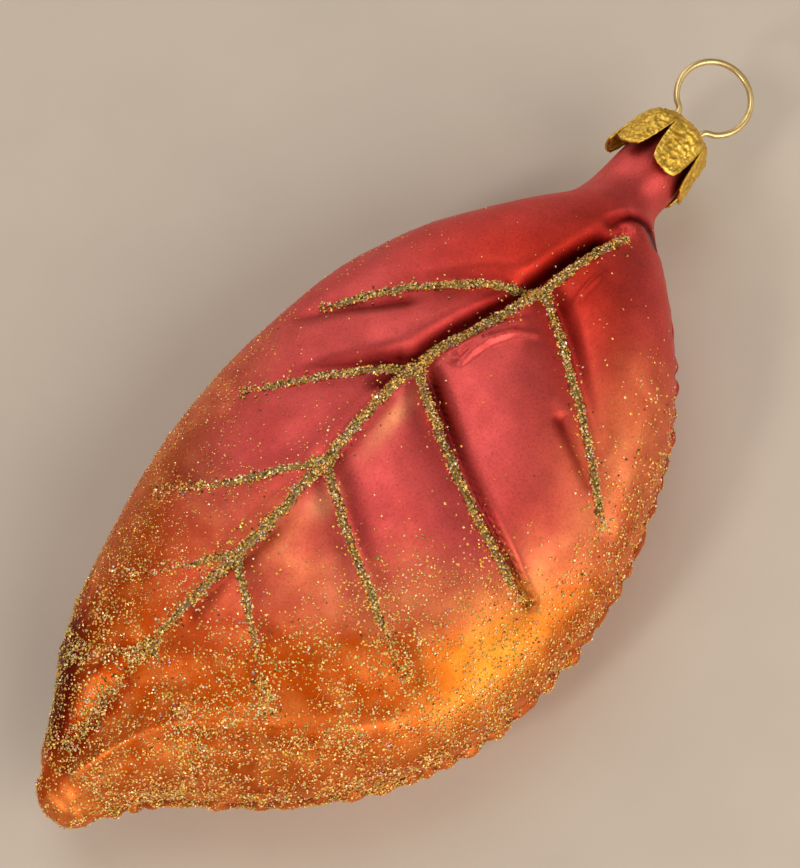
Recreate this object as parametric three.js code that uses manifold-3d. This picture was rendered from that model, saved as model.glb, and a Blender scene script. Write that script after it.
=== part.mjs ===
// Mouth-blown glass leaf ornament: a hollow silvered glass leaf with an open neck, an embossed
// sheet-metal crown cap pressed on the neck, a sprung wire hanger with a round ring, and a raised
// line of glitter glue in each vein groove of the front.
// Millimetres, +Z up. The leaf lies on its back: +X runs from the leaf tip to the hanging ring.
import * as THREE from 'three';
import * as BufferGeometryUtils from 'three/addons/utils/BufferGeometryUtils.js';
import Module from 'manifold-3d';

const wasm = await Module();
wasm.setup();

// ---------------------------------------------------------------- driving dimensions
const SEAM_Z = 11.757;        // height of the mould parting plane above the rest surface
const SHIFT_X = -1.919;       // moves the origin to the middle of the overall length
const SHIFT_Y = 6.513;        // moves the origin to the middle of the overall width
const WALL = 0.9;             // nominal glass wall
const BASE_DEPTH = 12.0;      // lowest pads of the back, below the parting plane
const TIP_X = -63.9, TIP_Y = -1.6;
const FULLNESS = 2.5;         // superellipse exponent of the blown section (2 is an ellipse)
// stations along the leaf: x, left edge y, right edge y, front height, back depth
const STATIONS = [
  [-61.0, 2.6, -5.2, 3.4, 3.2], [-58.0, 4.9, -6.6, 5.0, 4.4], [-53.3, 8.0, -10.6, 7.2, 6.8],
  [-48.0, 11.6, -16.6, 9.2, 9.0], [-43.0, 14.0, -22.0, 10.8, 10.8], [-38.0, 15.9, -26.0, 12.0, 12.2],
  [-30.0, 18.3, -31.0, 13.2, 13.2], [-20.0, 20.6, -34.1, 14.0, 13.8], [-10.0, 21.5, -34.6, 14.2, 14.0],
  [0.0, 21.4, -33.8, 14.0, 13.9], [10.0, 20.2, -31.0, 13.6, 13.5], [20.0, 17.0, -26.8, 12.8, 12.5],
  [28.0, 12.5, -21.0, 11.6, 11.0], [34.0, 8.4, -15.4, 10.0, 9.2], [38.0, 5.7, -11.0, 8.0, 7.4],
  [41.0, 5.05, -7.2, 6.2, 6.0], [44.0, 4.9, -4.7, 4.9, 4.9], [48.0, 4.85, -4.45, 4.65, 4.65],
  [51.5, 4.75, -3.85, 4.3, 4.3], [54.6, 4.55, -3.35, 3.95, 3.95], [55.4, 4.25, -3.05, 3.65, 3.65],
];
const AXIS_Y = 0.75;          // the neck, cap and ring share this axis
// vein lines in plan (x, y); each ends at the last point
const MIDRIB = [[36.6, -5.3], [28.5, -3.8], [21.3, -2.7], [14.2, -1.0], [7.3, 1.1], [0.1, 1.8],
  [-7.1, 1.5], [-14.4, 1.2], [-21.6, 0.9], [-28.9, 1.3], [-36.2, 1.5], [-43.5, 1.8], [-50.7, 2.0], [-57.0, 1.6]];
const LEFT_VEINS = [
  [[23.0, -3.1], [18.9, 2.5], [14.1, 7.4], [8.8, 12.0], [3.2, 16.1]],
  [[4.8, 1.7], [0.7, 5.3], [-3.4, 8.8], [-7.6, 12.2], [-11.7, 15.6]],
  [[-12.0, 1.3], [-16.3, 4.5], [-20.8, 7.7], [-24.5, 11.3], [-27.8, 15.4]],
  [[-27.6, 1.3], [-30.7, 3.6], [-33.6, 6.0], [-36.3, 8.7], [-39.0, 11.4]],
  [[-41.9, 1.7], [-44.2, 3.5], [-46.4, 5.4], [-48.2, 7.5], [-49.4, 9.4]],
];
const RIGHT_VEINS = [
  [[23.0, -3.1], [19.7, -8.5], [16.1, -13.6], [12.5, -18.7], [8.6, -23.7], [4.8, -28.5]],
  [[4.8, 1.7], [1.6, -3.6], [-1.6, -9.2], [-4.3, -15.0], [-6.7, -20.9], [-8.8, -27.0]],
  [[-12.0, 1.3], [-14.9, -3.6], [-17.8, -8.5], [-20.4, -13.5], [-22.9, -18.5], [-25.0, -23.8]],
  [[-27.6, 1.3], [-29.9, -2.0], [-32.2, -5.3], [-34.4, -8.7], [-36.8, -11.9], [-39.3, -15.1]],
  [[-41.9, 1.7], [-42.6, -0.3], [-43.9, -2.2], [-45.2, -4.0], [-46.5, -5.9], [-47.5, -8.0]],
];
const GROOVE = 1.2, GROOVE_WIDTH = 1.8;      // narrow groove along a vein
const PUFF = 1.15, PUFF_WIDTH = 5.0;          // wide valley that leaves the panels puffed
const LEFT_DEPTH = [0.9, 0.8, 0.55, 0.35, 0.15], RIGHT_DEPTH = [1.0, 0.95, 0.75, 0.45, 0.2];   // neck end first
// glitter lines
const GLITTER_WIDTH = 1.2, GLITTER_HEIGHT = 0.7, GLITTER_GAP = 0.34, GLITTER_STEP = 2.0;
// crown cap, in distance below its top face and radius
const CAP_TOP_X = 56.25;
const CAP_PROFILE = [[0, 0], [0, 2.8], [0.3, 3.6], [0.9, 4.5], [1.75, 5.1], [3.2, 5.5], [5.8, 5.95], [8.6, 6.35],
  [8.6, 5.98], [5.8, 5.57], [3.2, 5.12], [1.85, 4.72], [1.1, 4.25], [0.68, 3.5], [0.42, 2.8], [0.42, 0]];
const PETALS = 6, PETAL_TURN = -26;          // degrees from straight up, towards -Y
const WIRE_R = 0.42, RING_R = 5.05, LEG_OFFSET = 2.0, RING_TILT = 13.7;
const HOLE_R = 0.74;

// ---------------------------------------------------------------- glass shape
function stationAt(u) {
  const n = STATIONS.length;
  const v = Math.max(u, 1);
  const k = Math.min(Math.floor(v - 1), n - 2);
  const f = Math.min(v - 1 - k, 1);
  const p1 = STATIONS[k], p2 = STATIONS[k + 1];
  const p0 = k > 0 ? STATIONS[k - 1] : p1.map((a, i) => 2 * a - p2[i]);
  const p3 = k + 2 < n ? STATIONS[k + 2] : p2.map((a, i) => 2 * a - p1[i]);
  const s = p1.map((a, i) => {
    const b = p2[i], m1 = (b - p0[i]) / 2, m2 = (p3[i] - a) / 2;
    return (2 * f ** 3 - 3 * f ** 2 + 1) * a + (f ** 3 - 2 * f ** 2 + f) * m1 + (-2 * f ** 3 + 3 * f ** 2) * b + (f ** 3 - f ** 2) * m2;
  });
  const t = Math.min(Math.max(u, 0), 1), a = Math.PI / 2 * t;
  const size = u < 1 ? Math.sin(a) : 1;
  let yc = (s[1] + s[2]) / 2;
  if (u < 1) yc = TIP_Y + (yc - TIP_Y) * t;
  return { x: u < 1 ? TIP_X + (STATIONS[0][0] - TIP_X) * (1 - Math.cos(a)) : s[0], yc, w: (s[1] - s[2]) / 2 * size, top: s[3] * size, bot: s[4] * size };
}
const smoothstep = (a, b, v) => { const t = Math.min(Math.max((v - a) / (b - a), 0), 1); return t * t * (3 - 2 * t); };
function polyDistance(line, x, y) {
  let best = 1e9, at = 0;
  for (let i = 0; i < line.length - 1; i++) {
    const [ax, ay] = line[i], [bx, by] = line[i + 1];
    const dx = bx - ax, dy = by - ay;
    const t = Math.min(Math.max(((x - ax) * dx + (y - ay) * dy) / (dx * dx + dy * dy), 0), 1);
    const d = Math.hypot(x - ax - t * dx, y - ay - t * dy);
    if (d < best) { best = d; at = (i + t) / (line.length - 1); }
  }
  return [best, at];
}
function relief(x, y) {
  let sum = 0;
  const add = (line, strength, tail) => {
    const [d, at] = polyDistance(line, x, y);
    const k = strength * (1 + (tail - 1) * at);
    const g = k * (GROOVE * Math.exp(-((d / GROOVE_WIDTH) ** 2)) + PUFF * Math.exp(-((d / PUFF_WIDTH) ** 2)));
    sum += g ** 4;
  };
  add(MIDRIB, 1.0, 0.2);
  LEFT_VEINS.forEach((v, i) => add(v, LEFT_DEPTH[i], 0.35));
  RIGHT_VEINS.forEach((v, i) => add(v, RIGHT_DEPTH[i], 0.28));
  return sum ** 0.25;
}
// the inner face follows the deepest relief near each point, so the wall never thins out beside a groove
function reliefNear(x, y, r) {
  let deep = relief(x, y);
  if (r > 0) for (let k = 0; k < 8; k++) deep = Math.max(deep, relief(x + r * Math.cos(k * Math.PI / 4), y + r * Math.sin(k * Math.PI / 4)));
  return deep;
}
function glassPoint(u, th, inset) {
  const s = stationAt(u);
  const w = Math.max(s.w - inset, 0.02), top = Math.max(s.top - inset, 0.02), bot = Math.max(s.bot - inset, 0.02);
  const c = Math.cos(th), sn = Math.sin(th);
  const n = FULLNESS + (2 - FULLNESS) * smoothstep(36, 44, s.x);
  const y = s.yc + w * Math.sign(c) * Math.abs(c) ** (2 / n);
  let z = (sn >= 0 ? top : bot) * Math.sign(sn) * Math.abs(sn) ** (2 / n);
  const fade = smoothstep(0.05, 0.5, Math.abs(sn)) * smoothstep(41, 35, s.x) * smoothstep(-62, -56, s.x);
  // the pads of the back settle softly onto one level
  const limit = BASE_DEPTH - inset, soft = 1.6;
  if (-z > limit - soft) z = -(limit - soft * Math.exp(-(-z - (limit - soft)) / soft));
  const depth = reliefNear(s.x, y, inset > 0 ? 2.3 : 0);
  if (sn > 0) z -= fade * depth;
  else z += 0.6 * fade * depth;
  return [s.x, y, z];
}
function ringsOf(us, sides, inset, xShift) {
  return us.map((u) => Array.from({ length: sides }, (_, j) => {
    const p = glassPoint(u, 2 * Math.PI * j / sides, inset);
    return [p[0] + xShift, p[1], p[2]];
  }));
}
function solidFrom(verts, faces) {
  const g = new THREE.BufferGeometry();
  g.setAttribute('position', new THREE.BufferAttribute(new Float32Array(verts.flat()), 3));
  g.setIndex(faces.flat());
  g.computeVertexNormals();
  return g;
}
const SIDES = 44, LAST = STATIONS.length;
const outerU = [0.3, 0.62, 1.0];
for (let u = 1.35; u < LAST - 0.01; u += 0.4) outerU.push(u);
outerU.push(LAST);
const innerU = [0.75, 1.3, 2, 3];
for (let u = 4; u < LAST - 0.01; u += 0.85) innerU.push(u);
innerU.push(LAST);
const glassVerts = [], glassFaces = [];
{
  const outer = ringsOf(outerU, SIDES, 0, 0);
  const inner = ringsOf(innerU, SIDES, WALL, 0);
  const put = (p) => { glassVerts.push(p); return glassVerts.length - 1; };
  const tipOut = put([TIP_X, TIP_Y, 0]);
  const o = outer.map((r) => r.map(put));
  const i = inner.map((r) => r.map(put));
  const innerTip = stationAt(innerU[0]);
  const tipIn = put([innerTip.x - 0.6, innerTip.yc, 0]);
  const quad = (a, b, c, d) => { glassFaces.push([a, b, c], [a, c, d]); };
  for (let j = 0; j < SIDES; j++) {
    const k = (j + 1) % SIDES;
    glassFaces.push([tipOut, o[0][k], o[0][j]]);
    for (let r = 0; r < o.length - 1; r++) quad(o[r][j], o[r][k], o[r + 1][k], o[r + 1][j]);
    quad(o[o.length - 1][j], o[o.length - 1][k], i[i.length - 1][k], i[i.length - 1][j]);
    for (let r = 0; r < i.length - 1; r++) quad(i[r + 1][j], i[r + 1][k], i[r][k], i[r][j]);
    glassFaces.push([tipIn, i[0][j], i[0][k]]);
  }
}
const outerTriCount = SIDES * (1 + 2 * (outerU.length - 1));
function glassTopAt(x, y) {
  let z = -1e9;
  for (const [a, b, c] of glassFaces) {
    const A = glassVerts[a], B = glassVerts[b], C = glassVerts[c];
    if (Math.max(A[2], B[2], C[2]) < 0) continue;
    const det = (B[0] - A[0]) * (C[1] - A[1]) - (C[0] - A[0]) * (B[1] - A[1]);
    if (Math.abs(det) < 1e-9) continue;
    const s = ((x - A[0]) * (C[1] - A[1]) - (C[0] - A[0]) * (y - A[1])) / det;
    const t = ((B[0] - A[0]) * (y - A[1]) - (x - A[0]) * (B[1] - A[1])) / det;
    if (s < -1e-6 || t < -1e-6 || s + t > 1 + 1e-6) continue;
    z = Math.max(z, A[2] + s * (B[2] - A[2]) + t * (C[2] - A[2]));
  }
  return z;
}

// ---------------------------------------------------------------- glitter lines
function glitterLine(points, trimStart, width) {
  const curve = new THREE.CatmullRomCurve3(points.map(([x, y]) => new THREE.Vector3(x, y, 0)), false, 'centripetal');
  const length = curve.getLength();
  const t0 = trimStart / length;
  const n = Math.max(3, Math.round((length - trimStart) / GLITTER_STEP));
  const section = [[-0.5, 0], [-0.36, 0.72], [0, 1], [0.36, 0.72], [0.5, 0]];
  const verts = [], faces = [];
  for (let i = 0; i <= n; i++) {
    const t = Math.min(t0 + (1 - t0) * i / n, 1);
    const p = curve.getPointAt(t), d = curve.getTangentAt(t);
    const nx = -d.y, ny = d.x;
    const w = width * (1 - 0.35 * i / n), h = GLITTER_HEIGHT * (1 - 0.3 * i / n);
    const foot = (a) => glassTopAt(p.x + nx * a * w, p.y + ny * a * w) + GLITTER_GAP;
    const zl = foot(-0.5), zm = foot(0), zr = foot(0.5);
    for (const [a, b] of section) {
      const base = a < 0 ? zm + (zl - zm) * (-a / 0.5) : zm + (zr - zm) * (a / 0.5);
      verts.push([p.x + nx * a * w, p.y + ny * a * w, base + h * b]);
    }
    verts.push([p.x, p.y, zm]);
  }
  const m = 6;
  for (let i = 0; i < n; i++) for (let j = 0; j < m; j++) {
    const a = i * m + j, b = i * m + (j + 1) % m, c = a + m, e = b + m;
    faces.push([a, e, b], [a, c, e]);
  }
  for (let j = 1; j < m - 1; j++) {
    faces.push([0, j, j + 1]);
    faces.push([n * m, n * m + j + 1, n * m + j]);
  }
  return solidFrom(verts, faces);
}

// ---------------------------------------------------------------- manifold helpers
function toSolid(geometry) {
  let g = geometry.clone();
  g.deleteAttribute('normal');
  g.deleteAttribute('uv');
  g = BufferGeometryUtils.mergeVertices(g, 1e-4);
  return new wasm.Manifold(new wasm.Mesh({ numProp: 3, vertProperties: new Float32Array(g.attributes.position.array), triVerts: new Uint32Array(g.index.array) }));
}
function toGeometry(solid) {
  const m = solid.getMesh();
  const g = new THREE.BufferGeometry();
  const pos = new Float32Array(m.numVert * 3);
  for (let i = 0; i < m.numVert; i++) for (let k = 0; k < 3; k++) pos[3 * i + k] = m.vertProperties[i * m.numProp + k];
  g.setAttribute('position', new THREE.BufferAttribute(pos, 3));
  g.setIndex(Array.from(m.triVerts));
  g.computeVertexNormals();
  return g;
}

// ---------------------------------------------------------------- crown cap (axis +Y while it is made, top face at y = 0, skirt towards -Y)
function crownCap() {
  const profile = CAP_PROFILE.map(([s, r]) => new THREE.Vector2(r, -s)).reverse();
  let cap = toSolid(new THREE.LatheGeometry(profile, 48));
  for (let i = 0; i < PETALS; i++) {
    const notch = new THREE.Shape([[-0.08, -2.1], [0.08, -2.1], [0.22, -3.4], [0.6, -5.0], [1.15, -6.9], [1.9, -8.4], [2.0, -9.0],
      [-2.0, -9.0], [-1.9, -8.4], [-1.15, -6.9], [-0.6, -5.0], [-0.22, -3.4]].map(([a, b]) => new THREE.Vector2(a, b)));
    const g = new THREE.ExtrudeGeometry(notch, { depth: 6, bevelEnabled: false });
    g.translate(0, 0, 2.5);
    g.rotateY((i + 0.5) * 2 * Math.PI / PETALS);
    cap = cap.subtract(toSolid(g));
  }
  for (const side of [-1, 1]) {
    const hole = new THREE.CylinderGeometry(HOLE_R, HOLE_R, 3, 16);
    const a = THREE.MathUtils.degToRad(-PETAL_TURN - RING_TILT);
    hole.translate(side * LEG_OFFSET * Math.cos(a), 0, side * LEG_OFFSET * Math.sin(a));
    cap = cap.subtract(toSolid(hole));
  }
  return toGeometry(cap);
}

// ---------------------------------------------------------------- wire hanger, drawn flat in the x (axial), y (across) plane
function wireHanger() {
  const cx = CAP_TOP_X + 6.05;
  const half = [[42.8, 2.5], [45.5, 2.45], [49, 2.3], [52.3, 2.1], [55, LEG_OFFSET], [56.3, LEG_OFFSET]];
  const pts = half.map(([x, y]) => new THREE.Vector3(x, y, 0));
  const start = 27, steps = 18;
  for (let i = 0; i <= steps; i++) {
    const a = THREE.MathUtils.degToRad(180 - start - (360 - 2 * start) * i / steps);
    pts.push(new THREE.Vector3(cx + RING_R * Math.cos(a), RING_R * Math.sin(a), 0));
  }
  for (const [x, y] of [...half].reverse()) pts.push(new THREE.Vector3(x, -y, 0));
  const path = new THREE.CatmullRomCurve3(pts, false, 'centripetal');
  const circle = new THREE.Shape();
  for (let i = 0; i < 8; i++) {
    const a = 2 * Math.PI * (i + 0.5) / 8;
    if (i === 0) circle.moveTo(WIRE_R * Math.cos(a), WIRE_R * Math.sin(a));
    else circle.lineTo(WIRE_R * Math.cos(a), WIRE_R * Math.sin(a));
  }
  circle.closePath();
  const g = new THREE.ExtrudeGeometry(circle, { steps: 76, bevelEnabled: false, extrudePath: path });
  g.deleteAttribute('normal');
  g.deleteAttribute('uv');
  const m = BufferGeometryUtils.mergeVertices(g, 1e-4);
  m.computeVertexNormals();
  return m;
}

// ---------------------------------------------------------------- assembly
const glassMaterial = new THREE.MeshStandardMaterial({ color: 0xb8323a, roughness: 0.34, metalness: 0.6 });
const goldMaterial = new THREE.MeshStandardMaterial({ color: 0xb08c1e, roughness: 0.42, metalness: 1.0 });
const wireMaterial = new THREE.MeshStandardMaterial({ color: 0xd8b968, roughness: 0.28, metalness: 1.0 });
const glitterMaterial = new THREE.MeshStandardMaterial({ color: 0xc79a3c, roughness: 0.5, metalness: 0.7 });

const ornament = new THREE.Group();
ornament.position.set(SHIFT_X, SHIFT_Y, SEAM_Z);
function addMesh(parent, name, geometry, material) {
  const mesh = new THREE.Mesh(geometry, material.clone());
  mesh.name = name;
  parent.add(mesh);
  return mesh;
}
addMesh(ornament, 'glass_leaf', solidFrom(glassVerts, glassFaces), glassMaterial);

const cap = addMesh(ornament, 'crown_cap', crownCap(), goldMaterial);
const turn = new THREE.Group();
turn.position.set(CAP_TOP_X, AXIS_Y, 0);
turn.rotation.x = THREE.MathUtils.degToRad(PETAL_TURN * -1);
ornament.add(turn);
// local +Y (cap top) to +X, local +X (first hole) to +Y, local +Z (a petal) to -Z
cap.quaternion.setFromRotationMatrix(new THREE.Matrix4().makeBasis(new THREE.Vector3(0, 1, 0), new THREE.Vector3(1, 0, 0), new THREE.Vector3(0, 0, -1)));
turn.add(cap);

const hanger = addMesh(ornament, 'wire_hanger', wireHanger(), wireMaterial);
hanger.position.set(0, AXIS_Y, 0);
hanger.rotation.x = THREE.MathUtils.degToRad(RING_TILT);

addMesh(ornament, 'glitter_midrib', glitterLine(MIDRIB, 0, GLITTER_WIDTH * 1.25), glitterMaterial);
LEFT_VEINS.forEach((v, i) => addMesh(ornament, `glitter_vein_left_${i + 1}`, glitterLine(v, 1.9, GLITTER_WIDTH), glitterMaterial));
RIGHT_VEINS.forEach((v, i) => addMesh(ornament, `glitter_vein_right_${i + 1}`, glitterLine(v, 1.9, GLITTER_WIDTH), glitterMaterial));

export default ornament;
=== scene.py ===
# Looks of the glass leaf ornament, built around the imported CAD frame. Units below are millimetres in the
# leaf's own design coordinates (parting plane z = 0) until place() turns them into the row frame in metres.
import bpy
import bmesh
import math
import numpy as np
from mathutils import Matrix, Vector


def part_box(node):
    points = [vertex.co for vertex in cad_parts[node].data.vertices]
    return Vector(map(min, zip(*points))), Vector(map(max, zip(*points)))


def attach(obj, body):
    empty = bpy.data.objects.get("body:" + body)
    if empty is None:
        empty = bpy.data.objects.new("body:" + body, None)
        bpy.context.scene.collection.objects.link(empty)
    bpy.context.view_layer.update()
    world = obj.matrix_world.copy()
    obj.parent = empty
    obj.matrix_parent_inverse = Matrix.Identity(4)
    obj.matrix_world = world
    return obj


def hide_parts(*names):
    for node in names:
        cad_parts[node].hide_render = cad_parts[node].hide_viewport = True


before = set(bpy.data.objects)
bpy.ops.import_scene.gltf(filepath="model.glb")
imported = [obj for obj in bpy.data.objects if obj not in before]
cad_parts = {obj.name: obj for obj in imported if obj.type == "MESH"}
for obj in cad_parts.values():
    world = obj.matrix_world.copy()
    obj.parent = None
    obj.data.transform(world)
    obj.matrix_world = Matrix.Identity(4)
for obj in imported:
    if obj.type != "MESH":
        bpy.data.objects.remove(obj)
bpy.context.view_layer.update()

# ------------------------------------------------------------------ where the design sits in the row frame
TIP_X, TIP_Y = -63.9, -1.6
CAP_TOP_X, AXIS_Y = 56.25, 0.75
BASE_DEPTH = 12.0
cap_lo, cap_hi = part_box("crown_cap")
leaf_lo, leaf_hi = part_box("glass_leaf")
SHIFT = np.array([leaf_lo.x * 1000 - TIP_X,
                  (cap_lo.y + cap_hi.y) * 500 - AXIS_Y,
                  (cap_lo.z + cap_hi.z) * 500])


def place(p):
    return (np.asarray(p, float) + SHIFT) / 1000.0


# ------------------------------------------------------------------ small numpy helpers
def sstep(a, b, v):
    t = np.clip((np.asarray(v, float) - a) / (b - a), 0, 1)
    return t * t * (3 - 2 * t)


def gauss(d, w):
    return np.exp(-(np.asarray(d, float) / w) ** 2)


def vnoise(p, seed=0):
    """Smooth value noise in -1..1 at points p (N, 3) given in cells."""
    p = np.asarray(p, float)
    i = np.floor(p).astype(np.int64)
    f = p - i
    f = f * f * f * (f * (f * 6 - 15) + 10)
    out = np.zeros(len(p))
    for dx in (0, 1):
        for dy in (0, 1):
            for dz in (0, 1):
                h = ((i[:, 0] + dx) * 73856093) ^ ((i[:, 1] + dy) * 19349663) ^ ((i[:, 2] + dz) * 83492791) ^ (seed * 2654435761)
                h = (h ^ (h >> 13)) * 1274126177
                h = (h ^ (h >> 16)) & 0xFFFFFF
                v = h / float(0xFFFFFF) * 2 - 1
                w = (f[:, 0] if dx else 1 - f[:, 0]) * (f[:, 1] if dy else 1 - f[:, 1]) * (f[:, 2] if dz else 1 - f[:, 2])
                out += v * w
    return out


def fbm(p, octaves=3, seed=0):
    out, amp, tot = 0, 1.0, 0
    q = np.asarray(p, float)
    for k in range(octaves):
        out = out + amp * vnoise(q * 2 ** k + 17.3 * k, seed + k)
        tot += amp
        amp *= 0.5
    return out / tot


def polydist(line, x, y):
    """Distance, share along the line, and signed side (+ is left of the direction of travel)."""
    line = np.asarray(line, float)
    best = np.full(x.shape, 1e9)
    at = np.zeros(x.shape)
    side = np.zeros(x.shape)
    n = len(line) - 1
    for k in range(n):
        a, b = line[k], line[k + 1]
        d = b - a
        t = np.clip(((x - a[0]) * d[0] + (y - a[1]) * d[1]) / (d @ d), 0, 1)
        ex, ey = x - a[0] - t * d[0], y - a[1] - t * d[1]
        r = np.hypot(ex, ey)
        m = r < best
        best = np.where(m, r, best)
        at = np.where(m, (k + t) / n, at)
        side = np.where(m, np.sign(d[0] * ey - d[1] * ex), side)
    return best, at, side


def smooth_line(line, n):
    """Centripetal Catmull-Rom through the points, n samples."""
    P = np.asarray(line, float)
    P = np.vstack([2 * P[0] - P[1], P, 2 * P[-1] - P[-2]])
    t = np.r_[0, np.cumsum(np.sqrt(np.maximum(np.linalg.norm(np.diff(P, axis=0), axis=1), 1e-9)))]
    out = []
    for u in np.linspace(t[1], t[-2] - 1e-9, n):
        k = int(np.clip(np.searchsorted(t, u, side="right") - 1, 1, len(P) - 3))
        t0, t1, t2, t3 = t[k - 1:k + 3]
        p0, p1, p2, p3 = P[k - 1:k + 3]
        a1 = (t1 - u) / (t1 - t0) * p0 + (u - t0) / (t1 - t0) * p1
        a2 = (t2 - u) / (t2 - t1) * p1 + (u - t1) / (t2 - t1) * p2
        a3 = (t3 - u) / (t3 - t2) * p2 + (u - t2) / (t3 - t2) * p3
        b1 = (t2 - u) / (t2 - t0) * a1 + (u - t0) / (t2 - t0) * a2
        b2 = (t3 - u) / (t3 - t1) * a2 + (u - t1) / (t3 - t1) * a3
        out.append((t2 - u) / (t2 - t1) * b1 + (u - t1) / (t2 - t1) * b2)
    return np.array(out)


def even(line, step):
    d = np.r_[0, np.cumsum(np.linalg.norm(np.diff(line, axis=0), axis=1))]
    n = max(4, int(round(d[-1] / step)) + 1)
    t = np.linspace(0, d[-1], n)
    return np.stack([np.interp(t, d, line[:, k]) for k in range(line.shape[1])], -1)


# ------------------------------------------------------------------ the glass leaf's shape
STATIONS = np.array([
    [-61.0, 2.6, -5.2, 3.4, 3.2], [-58.0, 4.9, -6.6, 5.0, 4.4], [-53.3, 8.0, -10.6, 7.2, 6.8],
    [-48.0, 11.6, -16.6, 9.2, 9.0], [-43.0, 14.0, -22.0, 10.8, 10.8], [-38.0, 15.9, -26.0, 12.0, 12.2],
    [-30.0, 18.3, -31.0, 13.2, 13.2], [-20.0, 20.6, -34.1, 14.0, 13.8], [-10.0, 21.5, -34.6, 14.2, 14.0],
    [0.0, 21.4, -33.8, 14.0, 13.9], [10.0, 20.2, -31.0, 13.6, 13.5], [20.0, 17.0, -26.8, 12.8, 12.5],
    [28.0, 12.5, -21.0, 11.6, 11.0], [34.0, 8.4, -15.4, 10.0, 9.2], [38.0, 5.7, -11.0, 8.0, 7.4],
    [41.0, 5.05, -7.2, 6.2, 6.0], [44.0, 4.9, -4.7, 4.9, 4.9], [48.0, 4.85, -4.45, 4.65, 4.65],
    [51.5, 4.75, -3.85, 4.3, 4.3], [54.6, 4.55, -3.35, 3.95, 3.95], [55.4, 4.25, -3.05, 3.65, 3.65]])
FULLNESS = 2.5
MIDRIB = [[36.6, -5.3], [28.5, -3.8], [21.3, -2.7], [14.2, -1.0], [7.3, 1.1], [0.1, 1.8],
          [-7.1, 1.5], [-14.4, 1.2], [-21.6, 0.9], [-28.9, 1.3], [-36.2, 1.5], [-43.5, 1.8], [-50.7, 2.0], [-57.0, 1.6]]
LEFT = [
    [[23.0, -3.1], [18.9, 2.5], [14.1, 7.4], [8.8, 12.0], [3.2, 16.1]],
    [[4.8, 1.7], [0.7, 5.3], [-3.4, 8.8], [-7.6, 12.2], [-11.7, 15.6]],
    [[-12.0, 1.3], [-16.3, 4.5], [-20.8, 7.7], [-24.5, 11.3], [-27.8, 15.4]],
    [[-27.6, 1.3], [-30.7, 3.6], [-33.6, 6.0], [-36.3, 8.7], [-39.0, 11.4]],
    [[-41.9, 1.7], [-44.2, 3.5], [-46.4, 5.4], [-48.2, 7.5], [-49.4, 9.4]]]
RIGHT = [
    [[23.0, -3.1], [19.7, -8.5], [16.1, -13.6], [12.5, -18.7], [8.6, -23.7], [4.8, -28.5]],
    [[4.8, 1.7], [1.6, -3.6], [-1.6, -9.2], [-4.3, -15.0], [-6.7, -20.9], [-8.8, -27.0]],
    [[-12.0, 1.3], [-14.9, -3.6], [-17.8, -8.5], [-20.4, -13.5], [-22.9, -18.5], [-25.0, -23.8]],
    [[-27.6, 1.3], [-29.9, -2.0], [-32.2, -5.3], [-34.4, -8.7], [-36.8, -11.9], [-39.3, -15.1]],
    [[-41.9, 1.7], [-42.6, -0.3], [-43.9, -2.2], [-45.2, -4.0], [-46.5, -5.9], [-47.5, -8.0]]]
GROOVE, GROOVE_W, PUFF, PUFF_W = 1.2, 1.8, 1.15, 5.0
LEFT_DEPTH, RIGHT_DEPTH = (0.9, 0.8, 0.55, 0.35, 0.15), (1.0, 0.95, 0.75, 0.45, 0.2)
CREST = [[-60.9, -0.9], [-57.5, -1.6], [-53.4, -3.0], [-49.5, -4.8], [-46.0, -7.4], [-42.6, -12.0], [-38.6, -18.0], [-32.5, -23.8],
         [-26.3, -28.2], [-19.2, -31.2], [-11.4, -32.4], [-3.6, -32.2], [4.0, -30.6], [11.2, -27.4], [17.5, -23.5], [23.5, -19.5]]


def offset_line(line, d):
    """The line moved sideways by d, positive to the left of its direction."""
    line = np.asarray(line, float)
    t = np.gradient(line, axis=0)
    t /= np.linalg.norm(t, axis=1)[:, None]
    return line + d * np.stack([-t[:, 1], t[:, 0]], -1)


# narrow creases of the front: (line, depth, width, depth share at the start, at the end, widening of one side)
CREASES = [
    (offset_line(MIDRIB[:6], -1.15), 1.55, 0.66, 1.25, 0.55, -2.0),         # dark fold on the narrow side of the midrib
    (offset_line(LEFT[0][:4], -1.0), 0.35, 0.7, 1.2, 0.1, -1.6),
    (offset_line(LEFT[1][:4], -1.0), 0.95, 0.66, 1.3, 0.1, -1.8),
    (offset_line(RIGHT[1], 1.15), 0.50, 0.62, 2.8, 0.15, 1.3),
    (offset_line(RIGHT[0][:5], 1.1), 0.42, 0.7, 2.0, 0.1, 1.5),
    ([[-1.9, -9.5], [-2.7, -12.3], [-4.0, -16.4], [-5.5, -20.9], [-7.0, -24.7], [-8.1, -27.8]], 1.2, 0.62, 0.1, 1.0),
    ([[11.4, -15.1], [10.2, -17.6], [9.0, -20.6], [7.8, -23.6]], 0.8, 0.8, 1.0, 0.3),
    ([[11.6, 7.2], [8.0, 10.5], [4.6, 14.1], [0.6, 17.2]], 0.8, 0.9, 0.9, 0.4),
    ([[35.2, -2.3], [36.8, -2.6], [38.2, -3.0], [39.5, -3.7], [40.3, -4.6], [40.6, -5.6], [40.3, -6.8], [39.5, -8.2]], 1.35, 0.8, 0.4, 1.2),
    (offset_line(RIGHT[2], 1.0), 0.22, 0.7, 1.2, 0.6, 1.5),
    (offset_line(MIDRIB[5:8], 0.95), 0.35, 0.55, 1.0, 0.8, 1.4),     # past the second pair of veins it lies on the wide side
    (offset_line(MIDRIB[8:11], 1.0), 0.5, 0.6, 1.0, 0.8, 1.6),
]
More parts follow.
